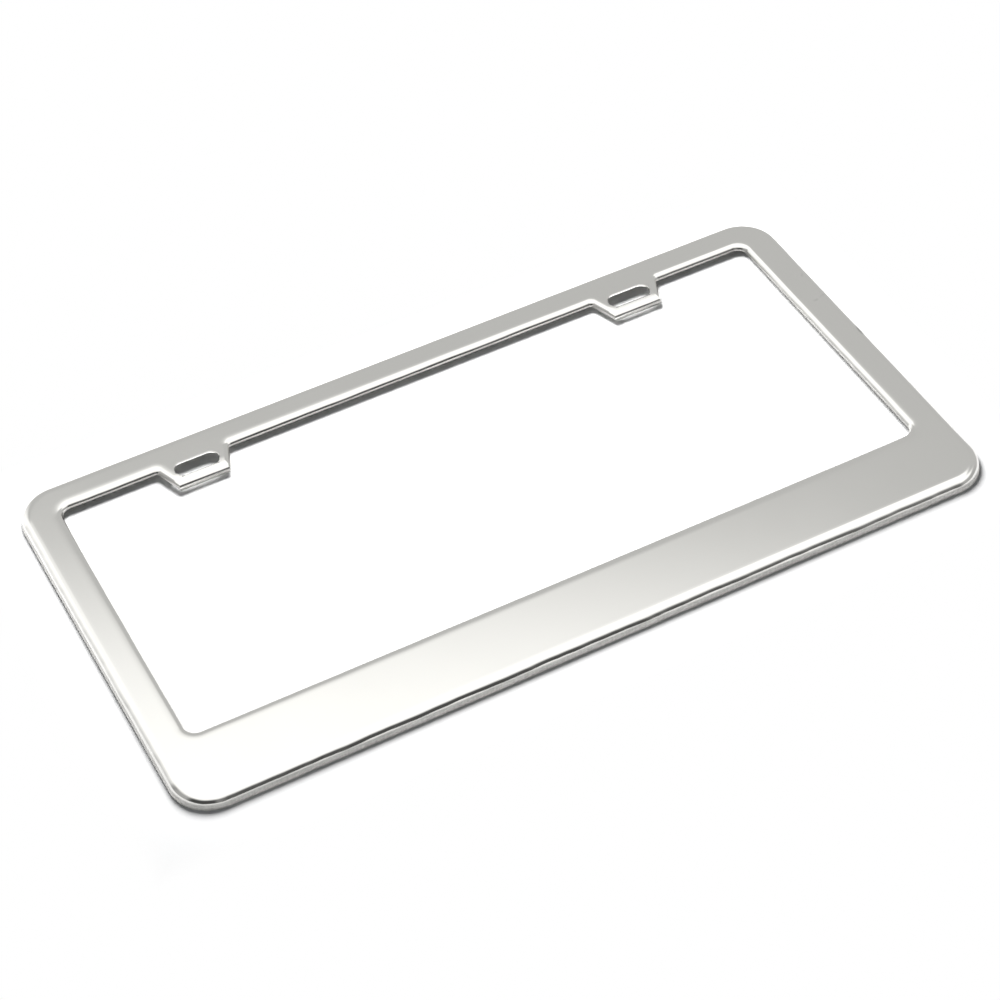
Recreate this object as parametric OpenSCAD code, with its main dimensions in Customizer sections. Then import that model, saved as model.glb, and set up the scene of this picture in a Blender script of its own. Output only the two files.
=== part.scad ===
// License plate frame, pressed from one piece of stainless sheet.
// It lies face up, with its open back down and the screw tabs on the far side.

/* [Frame] */
// Overall width of the frame
frame_w = 310; // [290:1:372]
// Overall height of the frame, across its long bars
frame_h = 162; // [150:1:196]
// Thickness of the sheet
sheet_t = 0.7; // [0.5:0.05:1.2]
// Outside radius of every bend in the sheet
bend_r = 2.2; // [1.4:0.1:2.8]
// Radius of the frame's outer corners
corner_r = 15; // [8:0.5:24]
// Straight height of the outer wall, below its bend
wall_straight = 2.5; // [1:0.1:6]

/* [Window] */
// Width of the top bar, from the outer wall to the window's lip
top_bar = 12.5; // [9:0.5:20]
// Width of the bottom bar, from the outer wall to the window's lip
bottom_bar = 30.6; // [12:0.2:45]
// Width of each side bar, from the outer wall to the window's lip
side_bar = 13.9; // [9:0.1:24]
// Radius of the window's corners, at the lip
window_r = 4; // [2:0.5:12]
// Straight height of the lip round the window, below its bend
lip_straight = 0.6; // [0.2:0.1:0.9]

/* [Screw tabs] */
// Distance between the centres of the two slots
slot_spacing = 177.8; // [120:0.1:220]
// Distance from the frame's top edge to the slots' centres
slot_from_top = 17.1; // [12:0.1:24]
// Length of a slot, from end to end
slot_l = 17; // [10:0.5:24]
// Width of a slot
slot_w = 7; // [5:0.5:9]
// Radius of the rolled edge round a slot
slot_edge_r = 0.3; // [0.1:0.05:0.45]
// Metal between a slot and the tab's end wall
tab_web = 3.9; // [3.2:0.1:8]
// How much further a tab's end reaches than its slot, at each side
tab_shoulder = 1.5; // [0.5:0.1:6]
// Slope of a tab's sides, measured from the top bar's edge: 44 across to 117 up
tab_angle = 69.39031; // [55:0.00001:85]

/* [Hidden] */
$fn = 96;
// Flat strip that each folded edge carries, to overlap the face
tongue = 1;
// Length that cutting bodies reach past what they cut
over = 1;
wall_depth = bend_r + wall_straight;
lip_depth = bend_r + lip_straight;
window_left = -frame_w / 2 + side_bar;
window_right = frame_w / 2 - side_bar;
window_bottom = -frame_h / 2 + bottom_bar;
window_top = frame_h / 2 - top_bar;
slot_y = frame_h / 2 - slot_from_top;
tab_end_y = slot_y - slot_w / 2 - tab_web;
tab_end_w = slot_l + 2 * tab_shoulder;
tab_root_y = window_top + bend_r + tongue;
tab_run = (tab_root_y - tab_end_y) / tan(tab_angle);
tab_reach = tab_end_w + 2 * tab_run;

// Section of a folded edge: flat strip, bend and wall, with the wall's
// outside at x = 0, the face's top at y = 0 and the wall's end at y = -depth.
module edge_section(depth) {
    difference() {
        union() {
            translate([-bend_r - tongue, -sheet_t]) square([tongue, sheet_t]);
            translate([-bend_r, -bend_r]) intersection() {
                circle(bend_r);
                square(bend_r);
            }
            translate([-sheet_t, -depth]) square([sheet_t, depth - bend_r]);
        }
        translate([-bend_r, -bend_r]) circle(bend_r - sheet_t);
    }
}

// Straight folded edge, centred on the origin, with its wall facing +Y.
module edge_run(length, depth) {
    rotate([90, 0, 90]) linear_extrude(height = length, center = true) edge_section(depth);
}

// Folded edge round the four sides of a rectangle with its walls outside.
module outer_edge(w, h, r, depth) {
    for (side = [-1, 1]) {
        rotate(90 - 90 * side) translate([0, h / 2, 0]) edge_run(w - 2 * r, depth);
        rotate(-90 * side) translate([0, w / 2, 0]) edge_run(h - 2 * r, depth);
    }
    for (corner = [[1, 1, 0], [-1, 1, 90], [-1, -1, 180], [1, -1, 270]])
        translate([corner[0] * (w / 2 - r), corner[1] * (h / 2 - r), 0])
            rotate(corner[2]) rotate_extrude(angle = 90) translate([r, 0]) edge_section(depth);
}

// Folded edge round a rectangular window, with its walls facing the window.
module window_edge(w, h, r, depth) {
    for (side = [-1, 1]) {
        rotate(90 - 90 * side) translate([0, -h / 2, 0]) edge_run(w - 2 * r, depth);
        rotate(-90 * side) translate([0, -w / 2, 0]) edge_run(h - 2 * r, depth);
    }
    for (corner = [[1, 1, 0], [-1, 1, 90], [-1, -1, 180], [1, -1, 270]])
        translate([corner[0] * (w / 2 - r), corner[1] * (h / 2 - r), 0])
            rotate(corner[2]) rotate_extrude(angle = 90)
                translate([r, 0]) mirror([1, 0]) edge_section(depth);
}

// Rectangle with round corners, centred on the origin.
module round_rectangle(w, h, r) {
    square([w - 2 * r, h], center = true);
    square([w, h - 2 * r], center = true);
    for (x = [-1, 1], y = [-1, 1])
        translate([x * (w / 2 - r), y * (h / 2 - r)]) circle(r);
}

// The pressed frame before its tabs: face, outer wall and window lip, with
// the face's top at z = 0.
module pressed_frame() {
    window_w = window_right - window_left;
    window_h = window_top - window_bottom;
    window_y = (window_top + window_bottom) / 2;
    grow = bend_r + tongue / 2;
    outer_edge(frame_w, frame_h, corner_r, wall_depth);
    translate([0, window_y, 0]) window_edge(window_w, window_h, window_r, lip_depth);
    translate([0, 0, -sheet_t]) linear_extrude(height = sheet_t) difference() {
        round_rectangle(frame_w - 2 * grow, frame_h - 2 * grow, corner_r - grow);
        translate([0, window_y])
            round_rectangle(window_w + 2 * grow, window_h + 2 * grow, window_r + grow);
    }
}

// Long body with one rounded top edge, whose side faces the given heading.
// The inset moves its side, top and rounding inwards by the same amount.
module rounded_body(heading, inset, depth) {
    rotate([90, 0, heading]) linear_extrude(height = 2 * tab_reach, center = true) {
        translate([-tab_reach, -depth]) square([tab_reach - bend_r, depth - inset]);
        translate([-tab_reach, -depth]) square([tab_reach - inset, depth - bend_r]);
        translate([-bend_r, -bend_r]) circle(bend_r - inset);
    }
}

// A tab's outer form, or with an inset its hollow, up to its root in the bar.
module tab_form(inset, depth) {
    intersection() {
        translate([0, tab_end_y, 0]) rounded_body(-90, inset, depth);
        translate([-tab_end_w / 2, tab_end_y, 0]) rounded_body(270 - tab_angle, inset, depth);
        translate([tab_end_w / 2, tab_end_y, 0]) rounded_body(tab_angle - 90, inset, depth);
        translate([-tab_reach / 2, tab_end_y, -depth])
            cube([tab_reach, tab_root_y - tab_end_y, depth]);
    }
}

// Space inside the top bar, behind the fold of its lip.
module bar_hollow() {
    translate([0, window_top, 0]) rounded_body(-90, sheet_t, lip_depth + over);
}

// Opening of a slot, with its rolled upper edge.
module slot_cut() {
    r = slot_w / 2;
    half = slot_l / 2 - r;
    translate([0, 0, -sheet_t - over]) linear_extrude(height = sheet_t + 2 * over) {
        square([2 * half, slot_w], center = true);
        for (side = [-1, 1]) translate([side * half, 0]) circle(r);
    }
    for (side = [-1, 1]) {
        translate([side * half, 0, 0]) rotate(-90 * side)
            rotate_extrude(angle = 180) slot_edge_section();
        rotate(90 - 90 * side) rotate([90, 0, 90])
            linear_extrude(height = 2 * half, center = true) slot_edge_section();
    }
}

// Section cut away by a slot's rolled edge, with x measured from its middle.
module slot_edge_section() {
    r = slot_w / 2;
    difference() {
        translate([r - slot_edge_r, -slot_edge_r]) square([2 * slot_edge_r, over]);
        translate([r + slot_edge_r, -slot_edge_r]) circle(slot_edge_r);
    }
}

// The frame with its two tabs folded down round their edges.
module plate_frame() {
    color([0.78, 0.78, 0.76]) translate([0, 0, wall_depth]) difference() {
        union() {
            difference() {
                pressed_frame();
                for (side = [-1, 1]) translate([side * slot_spacing / 2, 0, 0])
                    tab_form(sheet_t, lip_depth + over);
            }
            for (side = [-1, 1]) translate([side * slot_spacing / 2, 0, 0]) difference() {
                tab_form(0, lip_depth);
                tab_form(sheet_t, lip_depth + over);
                bar_hollow();
            }
        }
        for (side = [-1, 1]) translate([side * slot_spacing / 2, slot_y, 0]) slot_cut();
    }
}

plate_frame();
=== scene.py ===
"""Portrait of a number plate frame, pressed from one sheet of polished steel.

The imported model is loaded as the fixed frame. The sheet is modelled again with
its drawn bends, soft crown, sheared lips and rolled slots, and that piece
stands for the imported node. A pale floor and a soft studio surround light it.
"""
import logging
import math
from collections.abc import Callable, Iterator
from dataclasses import dataclass, field
from enum import Enum
from typing import Any

import bmesh
import bpy
from mathutils import Matrix, Vector


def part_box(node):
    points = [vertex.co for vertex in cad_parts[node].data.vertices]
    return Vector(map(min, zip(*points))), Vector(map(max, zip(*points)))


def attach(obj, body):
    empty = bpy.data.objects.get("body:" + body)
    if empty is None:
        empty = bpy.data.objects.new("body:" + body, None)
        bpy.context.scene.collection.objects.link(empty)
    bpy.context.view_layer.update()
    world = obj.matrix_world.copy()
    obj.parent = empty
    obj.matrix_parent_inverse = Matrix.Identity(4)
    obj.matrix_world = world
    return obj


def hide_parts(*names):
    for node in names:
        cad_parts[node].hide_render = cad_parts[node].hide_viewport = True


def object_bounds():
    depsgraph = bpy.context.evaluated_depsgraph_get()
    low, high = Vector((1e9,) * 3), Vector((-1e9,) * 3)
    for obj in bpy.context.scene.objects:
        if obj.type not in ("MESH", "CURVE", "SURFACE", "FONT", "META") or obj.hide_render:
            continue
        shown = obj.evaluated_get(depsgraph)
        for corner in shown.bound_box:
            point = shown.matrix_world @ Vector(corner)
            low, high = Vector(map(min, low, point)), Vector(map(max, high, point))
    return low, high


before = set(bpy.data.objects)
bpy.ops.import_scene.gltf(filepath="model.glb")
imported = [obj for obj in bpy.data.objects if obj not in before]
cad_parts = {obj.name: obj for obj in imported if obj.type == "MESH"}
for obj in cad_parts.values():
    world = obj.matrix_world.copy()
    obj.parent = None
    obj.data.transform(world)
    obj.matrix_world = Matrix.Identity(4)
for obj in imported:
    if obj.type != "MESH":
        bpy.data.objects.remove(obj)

CAD_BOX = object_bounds()
NODE = "plate_frame"
BODY = "root"
MM = 0.001
# Places closer than this count as the same one when the mesh is searched.
NEAR = 0.02 * MM
# Vertices closer than this are merged before the sheet gets its thickness.
TOUCHING = 0.001 * MM
LOG = logging.getLogger("number_plate_frame")

Socket = bpy.types.NodeSocket
Triple = tuple[float, float, float]


class Element(Enum):
    """Kinds of mesh element that edit mode can select."""

    VERTEX = "VERT"
    EDGE = "EDGE"
    FACE = "FACE"


class Surface(Enum):
    """Surfaces of the sheet, in the order of the piece's material slots."""

    POLISHED = 0
    MILLED = 1
    SHEARED = 2


def clear_selection() -> None:
    """Return to object mode with nothing selected."""
    active = bpy.context.view_layer.objects.active
    if active is not None and active.mode != "OBJECT":
        bpy.ops.object.mode_set(mode="OBJECT")
    bpy.ops.object.select_all(action="DESELECT")


def activate(piece: bpy.types.Object) -> None:
    """Make one object the only selected and active one.

    Args:
        piece: The object.
    """
    clear_selection()
    piece.select_set(True)
    bpy.context.view_layer.objects.active = piece


def pick(piece: bpy.types.Object, element: Element, test: Callable[[Any], bool]) -> int:
    """Select the elements of a mesh in edit mode that pass a test.

    Args:
        piece: The object in edit mode.
        element: The kind of element to test.
        test: Says of one element whether it is selected.

    Returns:
        The number of elements selected.
    """
    bpy.ops.mesh.select_mode(type=element.value)
    bpy.ops.mesh.select_all(action="DESELECT")
    mesh = bmesh.from_edit_mesh(piece.data)
    sequences = {Element.VERTEX: mesh.verts, Element.EDGE: mesh.edges, Element.FACE: mesh.faces}
    chosen = [item for item in sequences[element] if test(item)]
    for item in chosen:
        item.select_set(True)
    bmesh.update_edit_mesh(piece.data)
    return len(chosen)


def edge_middle(edge: Any) -> Vector:
    """Return the middle of a mesh edge."""
    return (edge.verts[0].co + edge.verts[1].co) / 2


def apply_modifier(piece: bpy.types.Object, kind: str, **settings: Any) -> None:
    """Add a modifier to a piece, set it and apply it.

    Args:
        piece: The object that is finished.
        kind: Blender's name for the modifier type.
        **settings: Values of the modifier's own properties.
    """
    activate(piece)
    modifier = piece.modifiers.new(kind.title(), kind)
    for name, value in settings.items():
        setattr(modifier, name, value)
    bpy.ops.object.modifier_apply(modifier=modifier.name)


@dataclass(frozen=True)
class Fade:
    """A value that changes smoothly between two limits of another one."""

    low: float
    high: float
    start: float = 0.0
    end: float = 1.0

    def scaled(self, factor: float) -> "Fade":
        """Return the fade with both its ends multiplied by a factor."""
        return Fade(self.low, self.high, self.start * factor, self.end * factor)


@dataclass
class Board:
    """A node tree under construction, with short calls for common nodes."""

    tree: bpy.types.NodeTree

    def add(self, kind: str, **settings: Any) -> bpy.types.Node:
        """Add a node and set its own properties.

        Args:
            kind: Blender's name for the node type.
            **settings: Values of the node's properties.

        Returns:
            The new node.
        """
        node = self.tree.nodes.new(kind)
        for name, value in settings.items():
            setattr(node, name, value)
        return node

    def feed(self, socket: Socket, source: Any) -> None:
        """Link a socket to another one, or give it a constant.

        Args:
            socket: The input that is fed.
            source: An output socket or a plain value.
        """
        if isinstance(source, Socket):
            self.tree.links.new(source, socket)
        else:
            socket.default_value = source

    def maths(self, operation: str, *values: Any) -> Socket:
        """Work out a number from one, two or three others.

        Args:
            operation: Blender's name for the operation.
            *values: Sockets or constants, in the operation's order.

        Returns:
            The result's socket.
        """
        node = self.add("ShaderNodeMath", operation=operation)
        for socket, value in zip(node.inputs, values, strict=False):
            self.feed(socket, value)
        return node.outputs[0]

    def vector(self, operation: str, *values: Any, output: str = "Vector") -> Socket:
        """Work out a vector or a number from vectors.

        Args:
            operation: Blender's name for the operation.
            *values: Sockets or constants, in the operation's order.
            output: Name of the output that holds the result.

        Returns:
            The result's socket.
        """
        node = self.add("ShaderNodeVectorMath", operation=operation)
        for socket, value in zip(node.inputs, values, strict=False):
            self.feed(socket, value)
        return node.outputs[output]

    def toward(self, direction: Socket, axis: Triple) -> Socket:
        """Return how far a direction points along an axis."""
        return self.vector("DOT_PRODUCT", direction, axis, output="Value")

    def step(
        self, value: Any, low: Any, high: Any, start: float = 0.0, end: float = 1.0
    ) -> Socket:
        """Turn a number smoothly from start to end between two limits.

        Args:
            value: The number that is turned.
            low: The limit below which the result is the start.
            high: The limit above which the result is the end.
            start: The result at the low limit.
            end: The result at the high limit.

        Returns:
            The result's socket.
        """
        node = self.add("ShaderNodeMapRange", interpolation_type="SMOOTHSTEP")
        for name, source in (
            ("Value", value),
            ("From Min", low),
            ("From Max", high),
            ("To Min", start),
            ("To Max", end),
        ):
            self.feed(node.inputs[name], source)
        return node.outputs[0]

    def fade(self, value: Any, fade: Fade) -> Socket:
        """Turn a number as a fade says."""
        return self.step(value, fade.low, fade.high, fade.start, fade.end)

    def noise(self, point: Any, scale: Any, detail: float = 2.0) -> Socket:
        """Make smooth noise from 0 to 1.

        Args:
            point: Where the noise is read.
            scale: Its scale, in waves per metre.
            detail: Its number of finer layers.

        Returns:
            The noise's socket.
        """
        node = self.add("ShaderNodeTexNoise")
        self.feed(node.inputs["Vector"], point)
        self.feed(node.inputs["Scale"], scale)
        self.feed(node.inputs["Detail"], detail)
        return node.outputs[0]

    def within(self, value: Any, limit: float) -> Socket:
        """Return 1 where a number lies between a limit and its negative."""
        return self.maths("LESS_THAN", self.maths("ABSOLUTE", value), limit)

    def shade(self, colour: Any, tone: Any) -> Socket:
        """Make a colour lighter or darker.

        Args:
            colour: The colour's socket.
            tone: The factor.

        Returns:
            The new colour's socket.
        """
        node = self.add("ShaderNodeVectorMath", operation="SCALE")
        self.feed(node.inputs[0], colour)
        self.feed(node.inputs["Scale"], tone)
        return node.outputs[0]

    def mix(self, share: Any, first: Any, second: Any) -> Socket:
        """Mix two numbers.

        Args:
            share: The second number's share.
            first: The first number.
            second: The second number.

        Returns:
            The mixed number's socket.
        """
        node = self.add("ShaderNodeMix", data_type="FLOAT")
        sockets = (node.inputs[0], node.inputs[2], node.inputs[3])
        for socket, source in zip(sockets, (share, first, second), strict=True):
            self.feed(socket, source)
        return node.outputs[0]

    def mix_colour(self, share: Any, first: Any, second: Any) -> Socket:
        """Mix two colours.

        Args:
            share: The second colour's share.
            first: The first colour.
            second: The second colour.

        Returns:
            The mixed colour's socket.
        """
        node = self.add("ShaderNodeMix", data_type="RGBA")
        sockets = (node.inputs[0], node.inputs[6], node.inputs[7])
        for socket, source in zip(sockets, (share, first, second), strict=True):
            self.feed(socket, source)
        return node.outputs[2]


@dataclass(frozen=True)
class Effect:
    """A surface effect that several materials share, as one node group."""

    name: str
    inputs: tuple[tuple[str, float], ...]
    outputs: tuple[str, ...]
    fill: Callable[[Board, dict[str, Socket]], dict[str, Socket]]

    def place(self, board: Board, **values: Any) -> dict[str, Socket]:
        """Put the effect in a material, with values of its own.

        Args:
            board: The material's node tree.
            **values: Constants or sockets for the group's named inputs.

        Returns:
            The group's outputs by name.
        """
        group = bpy.data.node_groups.get(self.name) or self.build()
        node = board.add("ShaderNodeGroup", node_tree=group)
        for name, value in values.items():
            board.feed(node.inputs[name], value)
        return {name: node.outputs[name] for name in self.outputs}

    def build(self) -> bpy.types.NodeTree:
        """Make the node group.

        Returns:
            The group, filled and with its sockets named.
        """
        tree = bpy.data.node_groups.new(self.name, "ShaderNodeTree")
        for name, value in self.inputs:
            socket = tree.interface.new_socket(
                name, in_out="INPUT", socket_type="NodeSocketFloat"
            )
            socket.default_value = value
        for name in self.outputs:
            tree.interface.new_socket(name, in_out="OUTPUT", socket_type="NodeSocketFloat")
        board = Board(tree)
        entry, leave = board.add("NodeGroupInput"), board.add("NodeGroupOutput")
        made = self.fill(board, {name: entry.outputs[name] for name, _ in self.inputs})
        for name in self.outputs:
            board.feed(leave.inputs[name], made[name])
        return tree


def place_of(board: Board) -> tuple[Socket, list[Socket]]:
    """Read the object coordinates.

    Args:
        board: The node tree that reads them.

    Returns:
        The coordinates as one vector, and as x, y and z.
    """
    point = board.add("ShaderNodeTexCoord").outputs["Object"]
    parts = board.add("ShaderNodeSeparateXYZ")
    board.feed(parts.inputs[0], point)
    return point, list(parts.outputs)


def in_plan(board: Board, vector: Socket) -> Socket:
    """Return a place or a direction without its height."""
    return board.vector("MULTIPLY", vector, (1, 1, 0))


GRAIN_DETAIL = 3.0
CLOUD_DETAIL = 4.0


def fill_grain(board: Board, given: dict[str, Socket]) -> dict[str, Socket]:
    """Make the fine grain that rolling leaves along the sheet.

    Args:
        board: The group's node tree.
        given: The group's inputs by name.

    Returns:
        The grain's height and a soft cloud that varies the gloss.
    """
    point, _ = place_of(board)
    stretch = board.add("ShaderNodeCombineXYZ")
    for socket, name in zip(stretch.inputs, ("Along", "Across", "Across"), strict=True):
        board.feed(socket, given[name])
    spot = board.vector("MULTIPLY", point, stretch.outputs[0])
    grain = board.noise(spot, 1.0, detail=GRAIN_DETAIL)
    return {
        "Height": board.maths("MULTIPLY", grain, given["Depth"]),
        "Cloud": board.noise(point, given["Cloud Scale"], detail=CLOUD_DETAIL),
    }


# Half the width and height of the zone that holds the lip but no outer wall.
LIP_ZONE = (147.5 * MM, 77.0 * MM)
# Height at which the lip's dull skin gives way to its polished bend.
LIP_SKIN = Fade(3.0 * MM, 3.7 * MM, 1.0, 0.0)
# Scuffs are nine times as long as they are wide, and stand upright.
SCUFF_SCALE = (1400.0, 1400.0, 160.0)
SCUFF_DETAIL = 4.0
PATCH_SCALE = 140.0
PATCH_DETAIL = 3.0


def fill_streaks(board: Board, given: dict[str, Socket]) -> dict[str, Socket]:
    """Make the upright scuffs and the dull skin that drawing leaves on walls.

    Args:
        board: The group's node tree.
        given: The group's inputs by name.

    Returns:
        Where the skin lies, how much painted light lightens it towards the rim, the
        scuffs' height and tone, and the skin's patches.
    """
    point, (x, y, z) = place_of(board)
    wall = board.step(z, given["Low"], given["High"], 1.0, 0.0)
    inside = board.maths("MULTIPLY", board.within(x, LIP_ZONE[0]), board.within(y, LIP_ZONE[1]))
    lip = board.maths("MULTIPLY", inside, board.fade(z, LIP_SKIN))
    skin = board.maths("MAXIMUM", wall, lip)
    scuff = board.noise(board.vector("MULTIPLY", point, SCUFF_SCALE), 1.0, detail=SCUFF_DETAIL)
    height = board.maths("MULTIPLY", board.maths("MULTIPLY", scuff, skin), given["Depth"])
    return {
        "Skin": skin,
        # Painted light: 1 at the rim and 0 from the skin's top up, to lighten the walls' skin
        # where they mirror the frame's shadow on the floor.
        "Rub": board.step(z, 0.0, given["High"], 1.0, 0.0),
        "Height": height,
        "Scuff": scuff,
        "Patches": board.noise(point, PATCH_SCALE, detail=PATCH_DETAIL),
    }


GRAIN = Effect(
    name="rolled_grain",
    inputs=(("Along", 90.0), ("Across", 2200.0), ("Cloud Scale", 30.0), ("Depth", 0.0)),
    outputs=("Height", "Cloud"),
    fill=fill_grain,
)
STREAKS = Effect(
    name="draw_streaks",
    inputs=(("Low", 2.0 * MM), ("High", 2.9 * MM), ("Depth", 0.0)),
    outputs=("Skin", "Rub", "Height", "Scuff", "Patches"),
    fill=fill_streaks,
)


@dataclass(frozen=True)
class Mark:
    """A small blemish on the face: where it is, its size and how it shows.

    Lengths are in millimetres and the turn is in degrees. The dulling is added
    to the roughness, and the darkening is the share of brightness that is lost.
    """

    x: float
    y: float
    length: float
    width: float
    turn: float
    dulling: float
    darkening: float
    edge: Fade = Fade(0.25, 1.0, 1.0, 0.0)

    def mask(self, board: Board, point: Socket) -> Socket:
        """Work out how strongly the mark shows.

        Args:
            board: The material's node tree.
            point: The place on the face, in plan.

        Returns:
            A number from 0, off the mark, to 1 at its middle.
        """
        mapping = board.add("ShaderNodeMapping", vector_type="TEXTURE")
        board.feed(mapping.inputs["Vector"], point)
        board.feed(mapping.inputs["Location"], (self.x * MM, self.y * MM, 0.0))
        board.feed(mapping.inputs["Rotation"], (0.0, 0.0, math.radians(self.turn)))
        board.feed(mapping.inputs["Scale"], (self.length * MM, self.width * MM, 1.0))
        away = board.vector("LENGTH", mapping.outputs[0], output="Value")
        return board.fade(away, self.edge)


# Darker, duller spots on the right bar, where it has a dent and scratches: the darkening is
# partly a painted reflection of the dent and partly the scratches' own dullness.
MARKS = (
    Mark(x=147.9, y=26.0, length=1.5, width=0.9, turn=10.0, dulling=0.10, darkening=0.14),
    Mark(x=151.2, y=27.0, length=2.4, width=0.9, turn=20.0, dulling=0.06, darkening=0.06),
    Mark(x=153.1, y=4.3, length=4.0, width=1.1, turn=84.0, dulling=0.08, darkening=0.40),
    Mark(x=151.0, y=40.8, length=1.6, width=0.7, turn=60.0, dulling=0.06, darkening=0.08),
)


@dataclass(frozen=True)
class SteelFinish:
    """One finish of the stainless sheet.

    The skin is the dull layer that drawing leaves on walls, and its colour is
    painted lighter towards the rim, a painted light against the shadow on the
    floor that the walls mirror. Grain and streaks are shares of their full depth.
    """

    name: str
    colour: Triple
    skin_colour: Triple
    painted_rim_light: Triple
    roughness: float
    skin_roughness: float
    grain: float
    streaks: float
    marks: tuple[Mark, ...] = ()
    grain_depth: float = 0.0012 * MM
    streak_depth: float = 0.02 * MM
    wave_scale: float = 55.0
    wave_slope: float = 0.4
    clouding: Fade = Fade(0.3, 0.7, 0.9, 1.12)
    patching: Fade = Fade(0.3, 0.7, 0.85, 1.15)
    scuffing: Fade = Fade(0.25, 0.75, 0.90, 1.04)

    def material(self) -> bpy.types.Material:
        """Build the material of this finish.

        Returns:
            The material, which reads object coordinates only.
        """
        material = bpy.data.materials.new(self.name)
        material.use_nodes = True
        board = Board(material.node_tree)
        shader = material.node_tree.nodes["Principled BSDF"]
        shader.inputs["Metallic"].default_value = 1.0
        grain = GRAIN.place(board, Depth=self.grain * self.grain_depth)
        drawn = STREAKS.place(board, Depth=self.streaks * self.streak_depth)
        point, (_, _, z) = place_of(board)
        colour, rough = self.base(board, grain, drawn)
        height = board.maths("ADD", drawn["Height"], grain["Height"])
        height = board.maths("ADD", height, self.wave(board, point, z))
        for mark in self.marks:
            mask = mark.mask(board, in_plan(board, point))
            # The marks' darkening: partly painted reflection of the dent, partly the scratches'
            # own dullness.
            rough = board.maths("MULTIPLY_ADD", mask, mark.dulling, rough)
            colour = board.shade(colour, board.maths("MULTIPLY_ADD", mask, -mark.darkening, 1.0))
        board.feed(shader.inputs["Base Color"], colour)
        board.feed(shader.inputs["Roughness"], rough)
        bump = board.add("ShaderNodeBump")
        board.feed(bump.inputs["Distance"], 1.0)
        board.feed(bump.inputs["Height"], height)
        board.feed(shader.inputs["Normal"], bump.outputs[0])
        return material

    def base(
        self, board: Board, grain: dict[str, Socket], drawn: dict[str, Socket]
    ) -> tuple[Socket, Socket]:
        """Work out the colour and the roughness without the marks.

        Args:
            board: The material's node tree.
            grain: Outputs of the rolled grain.
            drawn: Outputs of the drawn walls' streaks.

        Returns:
            The colour and the roughness.
        """
        # Painted light: the skin's colour turns to the painted rim light towards the rim.
        skin = board.mix_colour(drawn["Rub"], (*self.skin_colour, 1.0), (*self.painted_rim_light, 1.0))
        colour = board.mix_colour(drawn["Skin"], (*self.colour, 1.0), skin)
        tone = board.fade(drawn["Scuff"], self.scuffing)
        colour = board.shade(colour, board.mix(drawn["Skin"], 1.0, tone))
        rough = board.fade(grain["Cloud"], self.clouding.scaled(self.roughness))
        dull = board.fade(drawn["Patches"], self.patching.scaled(self.skin_roughness))
        return colour, board.mix(drawn["Skin"], rough, dull)

    def wave(self, board: Board, point: Socket, z: Socket) -> Socket:
        """Make the soft waves of the drawn walls, which fade out at the face.

        Args:
            board: The material's node tree.
            point: The place on the sheet.
            z: Its height.

        Returns:
            The waves' height.
        """
        noise = board.noise(in_plan(board, point), self.wave_scale)
        swing = board.maths("SUBTRACT", noise, 0.5)
        below = board.maths("SUBTRACT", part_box(NODE)[1][2], z)
        return board.maths("MULTIPLY", board.maths("MULTIPLY", swing, below), self.wave_slope)


# DULL is the skin's own colour. GLINT is a painted rim light. The pale one is the sheared skin's
# own colour and the milled surface's painted rim light.
DULL = (0.56, 0.55, 0.53)
PALE_SKIN_AND_RIM_LIGHT = (0.80, 0.80, 0.78)
GLINT = (0.97, 0.96, 0.93)
FINISHES = {
    Surface.POLISHED: SteelFinish(
        name="polished_steel",
        colour=(0.848, 0.841, 0.815),
        skin_colour=DULL,
        painted_rim_light=GLINT,
        roughness=0.09,
        skin_roughness=0.60,
        grain=0.12,
        streaks=1.0,
        marks=MARKS,
    ),
    Surface.MILLED: SteelFinish(
        name="milled_steel",
        colour=(0.62, 0.62, 0.60),
        skin_colour=DULL,
        painted_rim_light=PALE_SKIN_AND_RIM_LIGHT,
        roughness=0.36,
        skin_roughness=0.44,
        grain=1.0,
        streaks=0.6,
    ),
    Surface.SHEARED: SteelFinish(
        name="sheared_steel",
        colour=(0.86, 0.86, 0.84),
        skin_colour=PALE_SKIN_AND_RIM_LIGHT,
        painted_rim_light=GLINT,
        roughness=0.26,
        skin_roughness=0.34,
        grain=0.3,
        streaks=1.0,
    ),
}


@dataclass(frozen=True)
class Fold:
    """Section of one folded edge: flared wall, bend and soft crown.

    The flare leans out by the draft angle. The crown starts at its slope and
    flattens into the face. Angles are in degrees.
    """

    radius: float
    crown_width: float
    crown_slope: float
    flare: float = 0.0
    draft: float = 0.0
    bend_steps: int = 10
    crown_steps: int = 5

    def steps(self) -> Iterator[tuple[float, float]]:
        """Give the section as steps inwards and upwards from the wall.

        Yields:
            The step inwards and the step upwards, first up the flare, then
            round the bend and along the crown.
        """
        slope, draft = math.radians(self.crown_slope), math.radians(self.draft)
        start_in, start_up = self.flare * math.tan(draft), self.flare
        places = [(start_in, start_up)] if self.flare else []
        for step in range(1, self.bend_steps + 1):
            angle = draft + (math.pi / 2 - slope - draft) * step / self.bend_steps
            run = start_in + self.radius * (math.cos(draft) - math.cos(angle))
            rise = start_up + self.radius * (math.sin(angle) - math.sin(draft))
            places.append((run, rise))
        start_in, start_up = places[-1]
        for step in range(1, self.crown_steps + 1):
            share = step / self.crown_steps
            rise = self.crown_width * math.tan(slope) * (1 - (1 - share) ** 3) / 3
            places.append((start_in + self.crown_width * share, start_up + rise))
        previous = (0.0, 0.0)
        for place in places:
            yield place[0] - previous[0], place[1] - previous[1]
            previous = place

    def height(self) -> float:
        """Return how far the face lies above the start of the bend."""
        return sum(rise for _, rise in self.steps())


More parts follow.
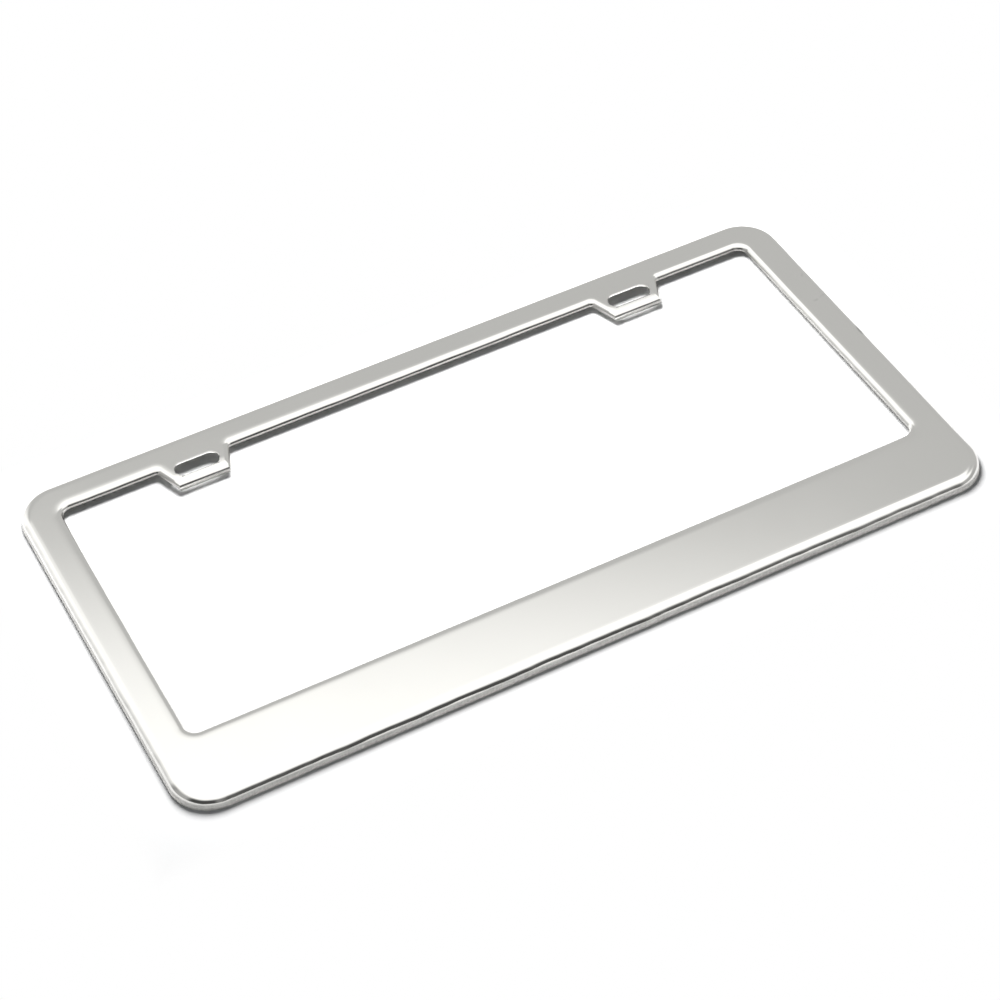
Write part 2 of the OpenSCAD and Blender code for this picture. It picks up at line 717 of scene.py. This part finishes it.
@dataclass
class FrameSheet:
    """The whole frame: one sheet, blanked, pierced, drawn and folded.

    Lengths are in metres and angles in degrees. The outline and the height
    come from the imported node, so that the piece stays inside it.
    """

    name: str = "folded_frame"
    thickness: float = 0.7 * MM
    outer_fold: Fold = Fold(3.4 * MM, 1.6 * MM, 1.2, flare=1.5 * MM, draft=8.0)
    inner_fold: Fold = Fold(2.2 * MM, 2.8 * MM, 3.2)
    corner_radius: float = 15 * MM
    corner_steps: int = 24
    top_bar: float = 13.4 * MM
    bottom_bar: float = 30.6 * MM
    side_bar: float = 14.45 * MM
    outline_zone: float = 6 * MM
    window_radius: float = 4 * MM
    window_steps: int = 10
    lip_depth: float = 1.95 * MM
    nose_depth: float = 2.7 * MM
    tab_end_width: float = 20 * MM
    tab_web: float = 3.9 * MM
    tab_angle: float = 69.39
    tab_corner: float = 0.9 * MM
    tab_corner_steps: int = 4
    root_radius: float = 0.8 * MM
    root_steps: int = 4
    droop_lines: tuple[float, ...] = (1.2 * MM, 2.3 * MM, 3.4 * MM)
    droop_angle: float = 1.0
    slot_spacing: float = 177.8 * MM
    slot_from_top: float = 17.1 * MM
    slot_length: float = 17 * MM
    slot_width: float = 7 * MM
    slot_sides: int = 64
    slot_roll: float = 0.25 * MM
    slot_roll_steps: int = 5
    rim_zone: float = 0.3 * MM
    same_plane: float = 0.1
    sharp_angle: float = 40.0
    faces_up: float = 0.9
    faces_out: float = 0.95
    piece: bpy.types.Object = field(init=False)
    width: float = field(init=False)
    height: float = field(init=False)
    top: float = field(init=False)
    wall: float = field(init=False)
    level: float = field(init=False)
    right: float = field(init=False)
    window_low: float = field(init=False)
    window_high: float = field(init=False)
    slot_y: float = field(init=False)
    tab_end_y: float = field(init=False)

    def __post_init__(self) -> None:
        """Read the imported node's box and work out the heights and places."""
        low, high = (Vector(corner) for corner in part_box(NODE))
        self.width = high.x - low.x
        self.height = high.y - low.y
        self.top = high.z
        self.wall = self.top - self.outer_fold.height()
        self.level = self.top - self.inner_fold.height()
        self.right = self.width / 2 - self.side_bar
        self.window_low = self.bottom_bar - self.height / 2
        self.window_high = self.height / 2 - self.top_bar
        self.slot_y = self.height / 2 - self.slot_from_top
        self.tab_end_y = self.slot_y - self.slot_width / 2 - self.tab_web

    def tab_centres(self) -> tuple[float, float]:
        """Return the x of the two tabs' middles."""
        return -self.slot_spacing / 2, self.slot_spacing / 2

    def tab_half_width(self, y: float) -> float:
        """Return half the width of a tab at a height y on the frame."""
        run = (y - self.tab_end_y) / math.tan(math.radians(self.tab_angle))
        return self.tab_end_width / 2 + run

    def beside_tabs(self, y: float) -> list[tuple[float, float]]:
        """List where a line across the frame meets the tabs' sides.

        Args:
            y: The line's height on the frame.

        Returns:
            The four places in plan.
        """
        half = self.tab_half_width(y)
        return [(centre + side * half, y) for centre in self.tab_centres() for side in (-1, 1)]

    @staticmethod
    def is_one_of(point: Vector, places: list[tuple[float, float]]) -> bool:
        """Say whether a point lies on one of some places in plan."""
        return any(abs(point.x - x) < NEAR and abs(point.y - y) < NEAR for x, y in places)

    def in_window(self, point: Vector) -> bool:
        """Say whether a point of the blank lies in the window, tabs left out.

        Args:
            point: The point.

        Returns:
            True in the window.
        """
        if abs(point.x) > self.right or not self.window_low < point.y < self.window_high:
            return False
        if point.y < self.tab_end_y:
            return True
        half = self.tab_half_width(point.y)
        return all(abs(point.x - centre) > half for centre in self.tab_centres())

    def near_window(self, point: Vector) -> bool:
        """Say whether a point lies in the window or in the folds round it.

        Args:
            point: The point.

        Returns:
            True in the window and as far from it as the bend reaches.
        """
        reach = self.inner_fold.radius + NEAR
        beside = abs(point.x) < self.right + reach
        return beside and self.window_low - reach < point.y < self.window_high + reach

    def on_outline(self, edge: Any) -> bool:
        """Say whether an open edge is on the outline and not on the window.

        Args:
            edge: The mesh edge.

        Returns:
            True on the outline.
        """
        middle = edge_middle(edge)
        inner_x = self.width / 2 - self.outline_zone
        inner_y = self.height / 2 - self.outline_zone
        return abs(middle.x) > inner_x or abs(middle.y) > inner_y

    def on_flat(self, face: Any) -> bool:
        """Say whether a face belongs to the flat of the blank."""
        return face.normal.z > self.faces_up and face.calc_center_median().z > self.level - NEAR

    def on_nose(self, face: Any) -> bool:
        """Say whether a face belongs to the end wall of a tab.

        Args:
            face: The mesh face.

        Returns:
            True on an end wall.
        """
        middle = face.calc_center_median()
        beside = min(abs(middle.x - centre) for centre in self.tab_centres())
        in_front = middle.y < self.tab_end_y + MM and face.normal.y < -self.faces_out
        return beside < self.tab_end_width / 2 and in_front

    def in_tab(self, point: Vector) -> bool:
        """Say whether a point of the folded sheet belongs to a tab.

        Args:
            point: The point.

        Returns:
            True in a tab, up to its root.
        """
        reach = self.tab_half_width(self.window_high) + NEAR
        near_tab = any(abs(point.x - centre) < reach for centre in self.tab_centres())
        return near_tab and self.tab_end_y - MM < point.y < self.window_high

    def on_slot_rim(self, point: Vector) -> bool:
        """Say whether a point lies on a slot's edge, at the top of the sheet.

        Args:
            point: The point.

        Returns:
            True on the upper edge of a slot.
        """
        radius = self.slot_width / 2
        beside = min(abs(point.x - centre) for centre in self.tab_centres())
        across = max(beside - self.slot_length / 2 + radius, 0.0)
        off = abs(math.hypot(across, point.y - self.slot_y) - radius)
        return off < NEAR and point.z > self.top - self.rim_zone

    def blank(self) -> None:
        """Cut the flat blank with its window and tabs out of one plane."""
        clear_selection()
        bpy.ops.mesh.primitive_plane_add(size=1.0)
        self.piece = bpy.context.object
        self.piece.name = self.name
        bpy.ops.object.mode_set(mode="EDIT")
        bpy.ops.transform.resize(value=(self.width, self.height, 1))
        bpy.ops.transform.translate(value=(0, 0, self.level))
        for x in (-self.right, 0.0, self.right):
            self.score((x, 0, 0), (1, 0, 0))
        for y in (self.window_low, self.tab_end_y, self.window_high):
            self.score((0, y, 0), (0, 1, 0))
        for centre in self.tab_centres():
            self.score_tab_sides(centre)
        pick(self.piece, Element.FACE, lambda face: self.in_window(face.calc_center_median()))
        bpy.ops.mesh.delete(type="FACE")
        pick(self.piece, Element.EDGE, lambda edge: all(abs(v.co.x) < NEAR for v in edge.verts))
        bpy.ops.mesh.mark_seam()
        bpy.ops.mesh.select_all(action="SELECT")
        bpy.ops.mesh.dissolve_limited(angle_limit=math.radians(self.same_plane), delimit={"SEAM"})

    def score(self, point: Triple, normal: Triple) -> None:
        """Cut the whole blank along a straight line."""
        bpy.ops.mesh.select_all(action="SELECT")
        bpy.ops.mesh.bisect(plane_co=point, plane_no=normal)

    def score_tab_sides(self, centre: float) -> None:
        """Cut the strip of the blank that holds a tab along the tab's sides.

        Args:
            centre: The x of the tab's middle.
        """
        lean = math.radians(self.tab_angle)
        for side in (-1, 1):
            pick(
                self.piece,
                Element.FACE,
                lambda face: self.tab_end_y < face.calc_center_median().y < self.window_high,
            )
            corner = (centre + side * self.tab_end_width / 2, self.tab_end_y, 0)
            across = (math.sin(lean), -side * math.cos(lean), 0)
            bpy.ops.mesh.bisect(plane_co=corner, plane_no=across)

    def round_corners(self) -> None:
        """Round the corners of the outline, the window and the tabs' roots."""
        half_w, half_h = self.width / 2, self.height / 2
        outer = [(x, y) for x in (-half_w, half_w) for y in (-half_h, half_h)]
        levels = (self.window_low, self.window_high)
        window = [(x, y) for x in (-self.right, self.right) for y in levels]
        for corners, radius, steps in (
            (outer, self.corner_radius, self.corner_steps),
            (window, self.window_radius, self.window_steps),
            (self.beside_tabs(self.window_high), self.root_radius, self.root_steps),
        ):
            found = pick(
                self.piece, Element.VERTEX, lambda vert: self.is_one_of(vert.co, corners)
            )
            bpy.ops.mesh.bevel(
                offset=radius,
                offset_type="OFFSET",
                affect="VERTICES",
                segments=steps,
                profile=0.5,
            )
            LOG.info("rounded %d corners to %.1f mm", found, radius / MM)

    def fold_edges(self) -> None:
        """Fold the window's edge, then the outline's, and join the two.

        The folded window edge is hidden while the flat goes down to the level
        at which the outer bend starts.
        """
        self.fold(outer=False)
        bpy.ops.mesh.split()
        bpy.ops.mesh.select_all(action="INVERT")
        bpy.ops.mesh.hide(unselected=False)
        pick(self.piece, Element.FACE, self.on_flat)
        bpy.ops.transform.translate(value=(0, 0, self.wall - self.top))
        self.level = self.wall
        self.fold(outer=True)
        bpy.ops.mesh.reveal(select=False)
        bpy.ops.mesh.select_all(action="SELECT")
        bpy.ops.mesh.remove_doubles(threshold=NEAR)

    def fold(self, outer: bool) -> None:
        """Fold one side of the flat down, at the outline or at the window.

        The wall is drawn down from that side's open edge, and then the flat
        is raised from it round the bend. The other side stays open.

        Args:
            outer: True for the outline, False for the window.
        """
        shape, drop = (
            (self.outer_fold, self.wall) if outer else (self.inner_fold, self.lip_depth)
        )
        pick(
            self.piece,
            Element.EDGE,
            lambda edge: edge.is_boundary and self.on_outline(edge) == outer,
        )
        bpy.ops.mesh.extrude_edges_move(TRANSFORM_OT_translate={"value": (0, 0, -drop)})
        pick(self.piece, Element.FACE, self.on_flat)
        for run, rise in shape.steps():
            bpy.ops.mesh.inset(
                thickness=run, depth=rise, use_boundary=False, use_even_offset=True
            )
            self.level += rise

    def soften_tab_corners(self) -> None:
        """Round the upright corners at the ends of the tabs."""
        corners = self.beside_tabs(self.tab_end_y)
        found = pick(
            self.piece,
            Element.EDGE,
            lambda edge: all(self.is_one_of(vert.co, corners) for vert in edge.verts),
        )
        bpy.ops.mesh.bevel(
            offset=self.tab_corner,
            segments=self.tab_corner_steps,
            profile=0.5,
            clamp_overlap=True,
        )
        LOG.info("softened %d upright edges at the tabs' corners", found)

    def trim_lip(self) -> None:
        """Shear the window's lip off at its depth, deeper at the tabs' noses."""
        for nose, depth in ((False, self.lip_depth), (True, self.nose_depth)):
            pick(
                self.piece,
                Element.FACE,
                lambda face: self.near_window(face.calc_center_median())
                and self.on_nose(face) == nose,
            )
            bpy.ops.mesh.bisect(
                plane_co=(0, 0, self.top - depth), plane_no=(0, 0, 1), clear_inner=True
            )
        bpy.ops.mesh.select_all(action="SELECT")
        bpy.ops.mesh.delete_loose(use_verts=True, use_edges=True, use_faces=False)

    def droop_tabs(self) -> None:
        """Bend the noses of the tabs down a little, in front of the slots."""
        for ahead in self.droop_lines:
            line = self.slot_y - ahead
            pick(
                self.piece,
                Element.FACE,
                lambda face: any(self.in_tab(vert.co) for vert in face.verts),
            )
            bpy.ops.mesh.bisect(plane_co=(0, line, 0), plane_no=(0, 1, 0))
            pick(
                self.piece,
                Element.VERTEX,
                lambda vert: vert.co.y < line - NEAR and self.in_tab(vert.co),
            )
            bpy.ops.transform.rotate(
                value=-math.radians(self.droop_angle),
                orient_axis="X",
                center_override=(0, line, self.top),
            )

    def thicken(self) -> None:
        """Give the folded surface the thickness of the sheet."""
        bpy.ops.mesh.select_all(action="SELECT")
        bpy.ops.mesh.remove_doubles(threshold=TOUCHING)
        apply_modifier(
            self.piece,
            "SOLIDIFY",
            thickness=self.thickness,
            offset=-1.0,
            use_even_offset=True,
            material_offset=Surface.MILLED.value,
            material_offset_rim=Surface.SHEARED.value,
        )

    def slot_cutter(self, centre: float) -> bpy.types.Object:
        """Make the stadium-shaped punch of one slot.

        Args:
            centre: The x of the slot's middle.

        Returns:
            The punch, standing through the tab.
        """
        clear_selection()
        radius = self.slot_width / 2
        bpy.ops.mesh.primitive_cylinder_add(
            vertices=self.slot_sides,
            radius=radius,
            depth=4 * self.top,
            rotation=(0, 0, math.pi / self.slot_sides),
        )
        punch = bpy.context.object
        bpy.ops.object.transform_apply(location=True, rotation=True, scale=True)
        bpy.ops.object.mode_set(mode="EDIT")
        for side in (-1, 1):
            pick(punch, Element.VERTEX, lambda vert: vert.co.x * side > 0)
            bpy.ops.transform.translate(value=(side * (self.slot_length / 2 - radius), 0, 0))
        bpy.ops.mesh.select_all(action="SELECT")
        bpy.ops.transform.translate(value=(centre, self.slot_y, self.top))
        bpy.ops.object.mode_set(mode="OBJECT")
        return punch

    def punch_slots(self) -> None:
        """Punch the two slots through the tabs and roll their upper edges."""
        for centre in self.tab_centres():
            punch = self.slot_cutter(centre)
            apply_modifier(
                self.piece, "BOOLEAN", operation="DIFFERENCE", object=punch, solver="EXACT"
            )
            bpy.data.objects.remove(punch)
        activate(self.piece)
        bpy.ops.object.mode_set(mode="EDIT")
        found = pick(
            self.piece,
            Element.EDGE,
            lambda edge: all(self.on_slot_rim(vert.co) for vert in edge.verts),
        )
        bpy.ops.mesh.bevel(
            offset=self.slot_roll,
            segments=self.slot_roll_steps,
            profile=0.5,
            clamp_overlap=False,
        )
        bpy.ops.object.mode_set(mode="OBJECT")
        LOG.info("rolled %d edges round the slots", found)

    def finish_mesh(self) -> None:
        """Shade the bends smooth and keep the flats flat."""
        activate(self.piece)
        bpy.ops.object.shade_smooth_by_angle(angle=math.radians(self.sharp_angle))
        apply_modifier(
            self.piece, "WEIGHTED_NORMAL", keep_sharp=True, mode="FACE_AREA_WITH_ANGLE"
        )

    def build(self) -> bpy.types.Object:
        """Model the sheet from the blank to the finished mesh.

        Returns:
            The finished piece, with its three materials.
        """
        self.blank()
        self.round_corners()
        self.fold_edges()
        self.soften_tab_corners()
        self.trim_lip()
        self.droop_tabs()
        for surface in Surface:
            self.piece.data.materials.append(FINISHES[surface].material())
        self.thicken()
        self.punch_slots()
        self.finish_mesh()
        LOG.info("%s: %d faces", self.name, len(self.piece.data.polygons))
        return self.piece


@dataclass(frozen=True)
class Portrait:
    """The camera, recovered from the straight edges of the frame.

    Angles are in degrees, and the image is square.
    """

    azimuth: float = -23.894
    elevation: float = 45.463
    roll: float = -4.462
    distance: float = 969.94 * MM
    aim: tuple[float, float] = (-11.49 * MM, 6.67 * MM)
    focal_px: float = 2734.0
    centre_px: tuple[float, float] = (461.84, 493.39)
    image_px: float = 1000.0
    sensor_mm: float = 36.0

    def place(self) -> None:
        """Add the camera and make it the scene's own."""
        az, el, roll = (math.radians(a) for a in (self.azimuth, self.elevation, self.roll))
        forward = Vector(
            (-math.sin(az) * math.cos(el), math.cos(az) * math.cos(el), -math.sin(el))
        )
        right = Vector((math.cos(az), math.sin(az), 0))
        above = right.cross(forward)
        across = right * math.cos(roll) + above * math.sin(roll)
        upward = above * math.cos(roll) - right * math.sin(roll)
        data = bpy.data.cameras.new("portrait")
        data.sensor_width = self.sensor_mm
        data.lens = self.focal_px * self.sensor_mm / self.image_px
        data.shift_x = 0.5 - self.centre_px[0] / self.image_px
        data.shift_y = self.centre_px[1] / self.image_px - 0.5
        camera = bpy.data.objects.new("portrait", data)
        turn = Matrix((across, upward, -forward)).transposed().to_4x4()
        spot = Vector((*self.aim, 0)) - forward * self.distance
        camera.matrix_world = Matrix.Translation(spot) @ turn
        bpy.context.scene.collection.objects.link(camera)
        bpy.context.scene.camera = camera


# Level directions: ahead of the camera and to its right.
AHEAD = (0.405, 0.914, 0.0)
RIGHTWARD = (0.914, -0.405, 0.0)


@dataclass(frozen=True)
class Zone:
    """A part of the surround, bounded round the horizon and in height.

    The turn fades over how far a level direction points along the axis, and
    the rise fades over the sine of the height above the horizon.
    """

    axis: Triple
    turn: Fade
    rise: Fade
    tilt: float = 0.0

    def share(self, board: Board, level: Socket, sine: Socket, side: Socket) -> Socket:
        """Work out where the zone lies.

        Args:
            board: The surround's node tree.
            level: The direction, laid level.
            sine: The sine of its height above the horizon.
            side: How far it points to the right, which the tilt follows.

        Returns:
            A number from 0, outside the zone, to 1 inside it.
        """
        if self.tilt:
            sine = board.maths("SUBTRACT", sine, board.maths("MULTIPLY", side, self.tilt))
        turned = board.fade(board.toward(level, self.axis), self.turn)
        return board.maths("MULTIPLY", turned, board.fade(sine, self.rise))


@dataclass(frozen=True)
class Gap:
    """A narrow range of level directions in which a zone is weaker."""

    axis: Triple
    middle: float
    fade: Fade

    def share(self, board: Board, level: Socket) -> Socket:
        """Work out how much of the zone is left.

        Args:
            board: The surround's node tree.
            level: The direction, laid level.

        Returns:
            The share of the zone's strength, 1 outside the gap.
        """
        off = board.maths("SUBTRACT", board.toward(level, self.axis), self.middle)
        return board.fade(board.maths("ABSOLUTE", off), self.fade)


@dataclass(frozen=True)
class Studio:
    """The pale floor, the surround that the steel mirrors and the key light.

    The surround is white, with a grey zone behind the frame, a dark one in
    front of it and a shaded one at the camera's right. The gaps keep the face
    from mirroring the full dark zone when it is seen from a side or the back.
    """

    floor_size: float = 12.0
    floor_colour: Triple = (0.93, 0.93, 0.93)
    floor_roughness: float = 0.9
    apron: Fade = Fade(6 * MM, 20 * MM)
    white: float = 1.27
    grey: float = 0.565
    shade: float = 0.45
    dark: float = 0.07
    tint: Triple = (1.0, 1.0, 0.99)
    fill: float = 0.12
    fill_colour: Triple = (0.95, 0.98, 1.0)
    behind: Zone = Zone(AHEAD, Fade(0.1, 0.6), Fade(0.698, 0.776, 1.0, 0.0), tilt=0.04)
    behind_left: Fade = Fade(-0.80, -0.42)
    before: Zone = Zone((-0.75, -0.66, 0.0), Fade(-0.084, 0.459), Fade(0.50, 0.82, 1.0, 0.0))
    before_gaps: tuple[Gap, ...] = (
        Gap((0.0, 1.0, 0.0), 0.12, Fade(0.20, 0.50, 0.70, 1.0)),
        Gap((1.0, 0.0, 0.0), -0.05, Fade(0.15, 0.33, 0.86, 1.0)),
    )
    right: Zone = Zone(RIGHTWARD, Fade(0.25, 0.6), Fade(0.40, 0.60, 1.0, 0.0))
    key_power: float = 3.8
    key_size: float = 0.28
    key_place: Triple = (0.03, 0.22, 0.36)

    def floor(self) -> None:
        """Lay the floor just under the frame.

        Beyond an apron that takes the frame's shadow, it is seen pure white.
        """
        clear_selection()
        bpy.ops.mesh.primitive_plane_add(size=self.floor_size, location=(0, 0, -NEAR))
        floor = bpy.context.object
        floor.name = "floor"
        material = bpy.data.materials.new("pale_floor")
        material.use_nodes = True
        nodes = material.node_tree.nodes
        shader = nodes["Principled BSDF"]
        shader.inputs["Base Color"].default_value = (*self.floor_colour, 1.0)
        shader.inputs["Roughness"].default_value = self.floor_roughness
        shader.inputs["Specular IOR Level"].default_value = 0.0
        board = Board(material.node_tree)
        _, (x, y, _) = place_of(board)
        half_w, half_h, _ = CAD_BOX[1]
        across, along = (
            board.maths("SUBTRACT", board.maths("ABSOLUTE", socket), half)
            for socket, half in ((x, half_w), (y, half_h))
        )
        far = board.fade(board.maths("MAXIMUM", across, along), self.apron)
        glow, blend = board.add("ShaderNodeEmission"), board.add("ShaderNodeMixShader")
        board.feed(blend.inputs[0], board.maths("MULTIPLY", far, self.seen(board)))
        board.feed(blend.inputs[1], shader.outputs[0])
        board.feed(blend.inputs[2], glow.outputs[0])
        board.feed(nodes["Material Output"].inputs["Surface"], blend.outputs[0])
        floor.data.materials.append(material)

    @staticmethod
    def seen(board: Board) -> Socket:
        """Tell rays that show a surface from rays that light another one.

        Args:
            board: The node tree that asks.

        Returns:
            1 for rays of the camera, gloss and glass, and 0 for light.
        """
        path = board.add("ShaderNodeLightPath").outputs
        seen = board.maths("MAXIMUM", path["Is Camera Ray"], path["Is Glossy Ray"])
        seen = board.maths("MAXIMUM", seen, path["Is Transmission Ray"])
        return board.maths("MULTIPLY", seen, board.maths("LESS_THAN", path["Diffuse Depth"], 0.5))

    def surround(self) -> None:
        """Hang the surround with its zones.

        The camera and the steel see it, and the floor gets a low even fill.
        """
        world = bpy.data.worlds.new("surround")
        bpy.context.scene.world = world
        world.use_nodes = True
        board = Board(world.node_tree)
        direction = board.add("ShaderNodeTexCoord").outputs["Generated"]
        height = board.add("ShaderNodeSeparateXYZ")
        board.feed(height.inputs[0], direction)
        sine = height.outputs["Z"]
        level = board.vector("NORMALIZE", in_plan(board, direction))
        side = board.toward(level, RIGHTWARD)
        behind, before, right = (
            zone.share(board, level, sine, side)
            for zone in (self.behind, self.before, self.right)
        )
        behind = board.maths("MULTIPLY", behind, board.fade(side, self.behind_left))
        for gap in self.before_gaps:
            before = board.maths("MULTIPLY", before, gap.share(board, level))
        strength = board.mix(right, self.white, self.shade)
        strength = board.mix(behind, strength, self.grey)
        strength = board.mix(before, strength, self.dark)
        seen = self.seen(board)
        colour = board.mix_colour(seen, (*self.fill_colour, 1.0), (*self.tint, 1.0))
        background = world.node_tree.nodes["Background"]
        board.feed(background.inputs["Color"], colour)
        board.feed(background.inputs["Strength"], board.mix(seen, self.fill, strength))

    def key_light(self) -> None:
        """Hang a soft lamp above and behind the frame, aimed at its middle."""
        data = bpy.data.lights.new("key", "AREA")
        data.shape = "DISK"
        data.size = self.key_size
        data.energy = self.key_power
        lamp = bpy.data.objects.new("key", data)
        place = Vector(self.key_place)
        turn = place.to_track_quat("Z", "Y").to_matrix().to_4x4()
        lamp.matrix_world = Matrix.Translation(place) @ turn
        lamp.visible_glossy = False
        lamp.visible_camera = False
        bpy.context.scene.collection.objects.link(lamp)

    def build(self) -> None:
        """Set up the floor, the surround and the lamp."""
        self.floor()
        self.surround()
        self.key_light()


def main() -> None:
    """Build the frame and its studio, and report each piece."""
    logging.basicConfig(level=logging.INFO, format="%(name)s: %(message)s")
    bpy.context.scene.view_settings.view_transform = "Standard"
    Portrait().place()
    sheet = FrameSheet().build()
    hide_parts(NODE)
    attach(sheet, BODY)
    LOG.info("piece %s rides on %s", sheet.name, BODY)
    Studio().build()
    LOG.info("the studio stands round the frame")


if __name__ == "__main__":
    main()
